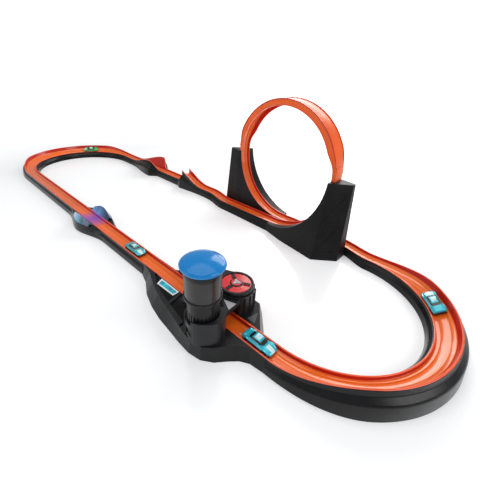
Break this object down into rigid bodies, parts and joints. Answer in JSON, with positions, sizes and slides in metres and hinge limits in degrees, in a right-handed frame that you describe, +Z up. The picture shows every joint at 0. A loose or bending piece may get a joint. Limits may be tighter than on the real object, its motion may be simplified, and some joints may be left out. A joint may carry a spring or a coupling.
{
  "type": "toy car track set",
  "caption": "Closed circuit of orange toy car track on black skirts with banked turns, a vertical loop, a jump, a scanner portal and a push-dome car booster.",
  "frame": {"origin": "on the floor under the centre of the circuit's overall box", "axes": "+X along the two straights towards the turn nearest the loop, +Y towards the loop side, +Z up"},
  "size_m": [1.9096, 0.6792, 0.4138],
  "materials": {
    "lane_orange": "injection moulded orange, slightly glossy",
    "skirt_black": "near-black satin mould finish",
    "dark_grey": "dark grey moulded plastic",
    "dome_blue": "glossy blue",
    "disc_red": "glossy red with a dark rim",
    "gear_white": "natural acetal",
    "rubber_black": "soft foam rubber",
    "steel": "zinc plated steel",
    "lens_blue": "tinted translucent plastic",
    "board_green": "printed circuit board",
    "bezel_white": "white frame",
    "window_cyan": "cyan window",
    "wheel_black": "black wheels on a bare axle",
    "chassis_grey": "dark chassis",
    "paint_cyan": "cyan enamel over a cast body",
    "paint_teal": "teal enamel over a cast body",
    "paint_green": "green enamel over a cast body"
  },
  "bodies": {
    "track": {"case_screws": "steel", "crossing_lane": "lane_orange", "far_curve_base": "skirt_black", "far_curve_lane": "lane_orange", "landing_base": "skirt_black", "landing_lane": "lane_orange", "launcher_bottom": "dark_grey", "launcher_hull": "skirt_black", "launcher_lane": "lane_orange", "loop_arc_lane": "lane_orange", "loop_entry_lane": "lane_orange", "loop_entry_tower": "skirt_black", "loop_exit_lane": "lane_orange", "loop_exit_tower": "skirt_black", "near_curve_base": "skirt_black", "near_curve_lane": "lane_orange", "portal_base": "skirt_black", "portal_board": "board_green", "portal_cover": "dark_grey", "portal_lane": "lane_orange", "portal_lens_inner": "lens_blue", "portal_lens_outer": "lens_blue", "return_spring": "steel", "rotor_housing": "skirt_black", "status_bezel": "bezel_white", "status_window": "window_cyan", "straight_a_base": "skirt_black", "straight_a_lane": "lane_orange", "straight_b_base": "skirt_black", "straight_b_lane": "lane_orange", "takeoff_base": "skirt_black", "takeoff_lane": "lane_orange", "tower_column": "skirt_black"},
    "plunger": {"plunger_dome": "dome_blue", "plunger_sleeve": "skirt_black", "plunger_screw": "gear_white"},
    "nut": {"nut_gear": "gear_white"},
    "idler": {"idler_gear": "gear_white"},
    "rotor": {"rotor_shaft": "gear_white", "booster_tyre": "rubber_black", "rotor_disc": "disc_red"},
    "roller": {"guide_roller": "dark_grey"},
    "switch": {"portal_switch": "dark_grey"},
    "cyan_car": {"cyan_racer_shell": "paint_cyan", "cyan_racer_chassis": "chassis_grey"},
    "cyan_front_axle": {"cyan_racer_front_wheels": "wheel_black"},
    "cyan_rear_axle": {"cyan_racer_rear_wheels": "wheel_black"},
    "teal_car": {"teal_racer_shell": "paint_teal", "teal_racer_chassis": "chassis_grey"},
    "teal_front_axle": {"teal_racer_front_wheels": "wheel_black"},
    "teal_rear_axle": {"teal_racer_rear_wheels": "wheel_black"},
    "blue_car": {"blue_racer_shell": "paint_cyan", "blue_racer_chassis": "chassis_grey"},
    "blue_front_axle": {"blue_racer_front_wheels": "wheel_black"},
    "blue_rear_axle": {"blue_racer_rear_wheels": "wheel_black"},
    "green_car": {"green_racer_shell": "paint_green", "green_racer_chassis": "chassis_grey"},
    "green_front_axle": {"green_racer_front_wheels": "wheel_black"},
    "green_rear_axle": {"green_racer_rear_wheels": "wheel_black"}
  },
  "joints": [
    {"name": "plunger_press", "type": "slide", "parent": "track", "child": "plunger", "axis": [0, 0, -1], "range_m": [0, 0.028], "stiffness_N_per_m": 120, "springref_m": -0.008, "deforming": ["return_spring"]},
    {"name": "nut_turn", "type": "hinge", "parent": "track", "child": "nut", "pos_m": [0.545, -0.298, 0.009], "axis": [0, 0, 1], "range_deg": [-1, 169]},
    {"name": "idler_turn", "type": "hinge", "parent": "track", "child": "idler", "pos_m": [0.53426, -0.23744, 0.009], "axis": [0, 0, 1], "range_deg": [-133, 1]},
    {"name": "rotor_spin", "type": "hinge", "parent": "track", "child": "rotor", "pos_m": [0.532, -0.191, 0.045], "axis": [0, 0, 1], "range_deg": [-2, 380]},
    {"name": "roller_spin", "type": "hinge", "parent": "track", "child": "roller", "pos_m": [0.532, -0.2602, 0.035], "axis": [0, 0, 1], "continuous": true},
    {"name": "power_switch", "type": "slide", "parent": "track", "child": "switch", "axis": [1, 0, 0], "range_m": [0, 0.004]},
    {"name": "cyan_car_run", "type": "slide", "parent": "track", "child": "cyan_car", "axis": [1, 0, 0], "range_m": [-0.33, 0]},
    {"name": "teal_car_run", "type": "slide", "parent": "track", "child": "teal_car", "axis": [1, 0, 0], "range_m": [-0.38, 0]},
    {"name": "blue_car_run", "type": "hinge", "parent": "track", "child": "blue_car", "pos_m": [0.675, 0, 0.04], "axis": [0, 0, 1], "range_deg": [-76, 0.5]},
    {"name": "green_car_run", "type": "hinge", "parent": "track", "child": "green_car", "pos_m": [-0.675, 0, 0.04], "axis": [0, 0, 1], "range_deg": [-8, 66]},
    {"name": "cyan_front_wheels_spin", "type": "hinge", "parent": "cyan_car", "child": "cyan_front_axle", "pos_m": [0.662, -0.236, 0.02525], "axis": [0, 1, 0], "continuous": true},
    {"name": "cyan_rear_wheels_spin", "type": "hinge", "parent": "cyan_car", "child": "cyan_rear_axle", "pos_m": [0.618, -0.236, 0.02525], "axis": [0, 1, 0], "continuous": true},
    {"name": "teal_front_wheels_spin", "type": "hinge", "parent": "teal_car", "child": "teal_front_axle", "pos_m": [0.207, -0.236, 0.02525], "axis": [0, 1, 0], "continuous": true},
    {"name": "teal_rear_wheels_spin", "type": "hinge", "parent": "teal_car", "child": "teal_rear_axle", "pos_m": [0.163, -0.236, 0.02525], "axis": [0, 1, 0], "continuous": true},
    {"name": "blue_front_wheels_spin", "type": "hinge", "parent": "blue_car", "child": "blue_front_axle", "pos_m": [0.84411, 0.16004, 0.03504], "axis": [-0.6826, -0.5333, -0.4996], "continuous": true},
    {"name": "blue_rear_wheels_spin", "type": "hinge", "parent": "blue_car", "child": "blue_rear_axle", "pos_m": [0.8712, 0.12537, 0.03504], "axis": [-0.6826, -0.5333, -0.4996], "continuous": true},
    {"name": "green_front_wheels_spin", "type": "hinge", "parent": "green_car", "child": "green_front_axle", "pos_m": [-0.88674, 0.09684, 0.03504], "axis": [0.7502, -0.4331, -0.4996], "continuous": true},
    {"name": "green_rear_wheels_spin", "type": "hinge", "parent": "green_car", "child": "green_rear_axle", "pos_m": [-0.86474, 0.13495, 0.03504], "axis": [0.7502, -0.4331, -0.4996], "continuous": true}
  ],
  "couplings": [
    {"joint": "nut_turn", "follows": "plunger_press", "rad_per_m": 104.72},
    {"joint": "idler_turn", "follows": "plunger_press", "rad_per_m": -81.955},
    {"joint": "rotor_spin", "follows": "plunger_press", "rad_per_m": 235.62}
  ]
}
